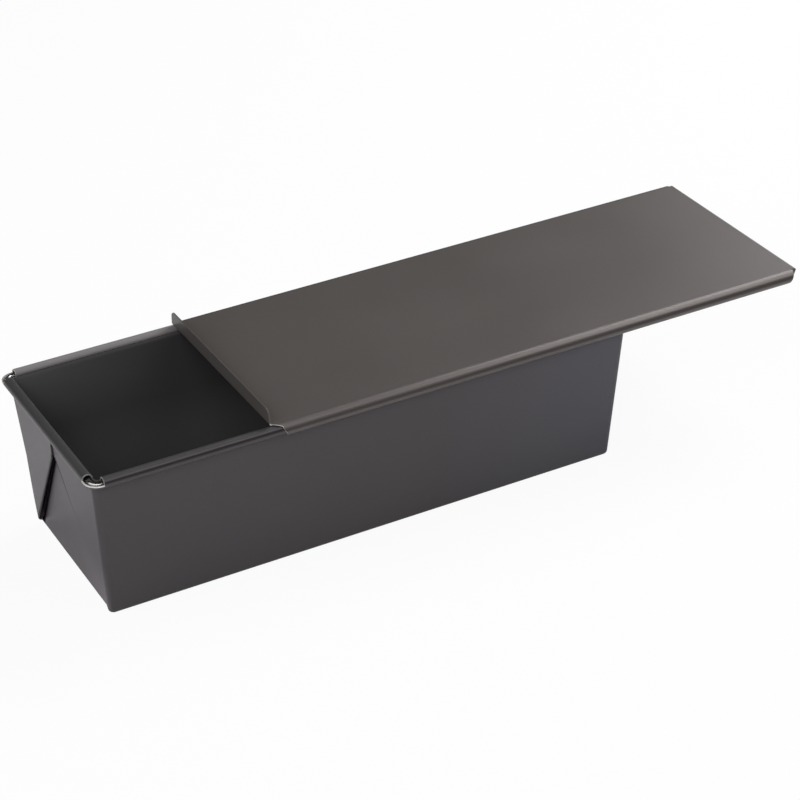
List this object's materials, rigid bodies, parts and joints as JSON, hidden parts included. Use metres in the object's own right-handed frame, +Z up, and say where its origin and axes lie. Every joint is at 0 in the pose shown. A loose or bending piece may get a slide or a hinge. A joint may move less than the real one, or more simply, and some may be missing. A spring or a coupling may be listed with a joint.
{
  "type": "pullman loaf pan",
  "caption": "Long tapered loaf tin with folded ends and a rolled, wired rim. Its flat lid slides along the rim on hooked sides and stands partly drawn.",
  "frame": {"origin": "centre of the flat underside of the pan's floor", "axes": "+X along the pan, the way the lid slides off; +Y across it; +Z up, towards the lid"},
  "size_m": [0.3995, 0.1228, 0.0939],
  "materials": {
    "pan_coating": "satin dark grey non-stick coating on sheet steel",
    "lid_coating": "satin dark warm grey non-stick coating on sheet steel",
    "bare_wire": "bright drawn wire"
  },
  "bodies": {
    "pan": {"pan_body": "pan_coating", "rim_wire": "bare_wire"},
    "sliding_lid": {"lid": "lid_coating"}
  },
  "joints": [
    {"name": "lid_slide", "type": "slide", "parent": "pan", "child": "sliding_lid", "axis": [1, 0, 0], "range_m": [-0.0986, 0.215]}
  ]
}
